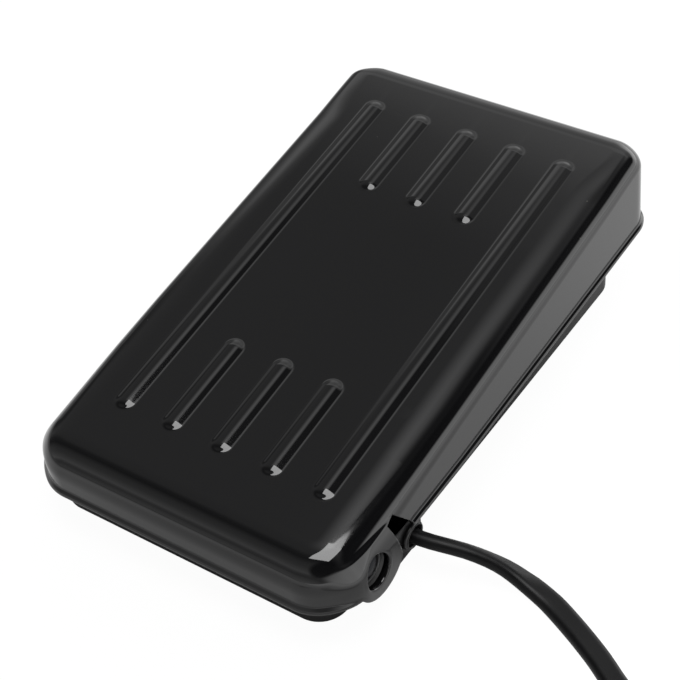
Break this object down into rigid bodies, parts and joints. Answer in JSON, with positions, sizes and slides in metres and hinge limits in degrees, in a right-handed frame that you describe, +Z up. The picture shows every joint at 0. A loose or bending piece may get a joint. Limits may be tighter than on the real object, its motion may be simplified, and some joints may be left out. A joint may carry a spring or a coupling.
{
  "type": "sewing machine foot pedal",
  "caption": "Low ribbed steel foot pedal for a sewing machine: wedge cover hinged at its front ears over a tray with a carbon-pile speed control and a mains cord.",
  "frame": {"origin": "on the floor under the middle of the pedal, its cord left out", "axes": "+X towards the side where the cord leaves, +Y to the rear (the high end), +Z up"},
  "size_m": [0.1915, 0.2287, 0.0414],
  "materials": {
    "enamel": "gloss black enamel",
    "tray_enamel": "satin black enamel",
    "zinc": "zinc plated",
    "steel": "bright steel",
    "stud_steel": "oiled dark steel",
    "rubber": "matt",
    "cord_pvc": "soft satin",
    "ceramic": "unglazed",
    "carbon": "pressed graphite",
    "brass": "satin",
    "fibre": "pressed fibre sheet",
    "plug_plastic": "moulded",
    "nickel": "nickel plated"
  },
  "bodies": {
    "base": {"base_tray": "tray_enamel", "pivot_studs": "stud_steel", "rubber_feet": "rubber", "foot_screws": "steel", "return_spring": "steel", "rheostat_block": "ceramic", "carbon_discs": "carbon", "contact_buttons": "brass", "terminal_plates": "brass", "terminal_screws": "brass", "block_screws": "steel", "lever_pin": "steel", "lever_brackets": "zinc", "bracket_rivets": "steel", "grommet": "rubber", "cord_clamp": "zinc", "clamp_screws": "steel", "inner_wires": "cord_pvc", "cord_lead": "cord_pvc", "cord_coil": "cord_pvc", "cord_tail": "cord_pvc", "coil_tie": "plug_plastic", "plug_body": "plug_plastic", "plug_pins": "nickel"},
    "cover": {"cover": "enamel", "push_yoke": "zinc", "spring_cup": "zinc", "limit_hook": "zinc"},
    "lever": {"lever": "zinc", "contact_bridge": "brass", "bridge_insulator": "fibre", "bridge_rivets": "brass"}
  },
  "joints": [
    {"name": "cover_tilt", "type": "hinge", "parent": "base", "child": "cover", "pos_m": [0, -0.05796, 0.01451], "axis": [-1, 0, 0], "range_deg": [0, 5], "stiffness_Nm_per_rad": 5, "springref_deg": -8.59, "deforming": ["return_spring"]},
    {"name": "lever_turn", "type": "hinge", "parent": "base", "child": "lever", "pos_m": [0, 0.04369, 0.0074], "axis": [1, 0, 0], "range_deg": [0, 3.51]}
  ],
  "couplings": [
    {"joint": "lever_turn", "follows": "cover_tilt", "ratio": 0.692}
  ]
}
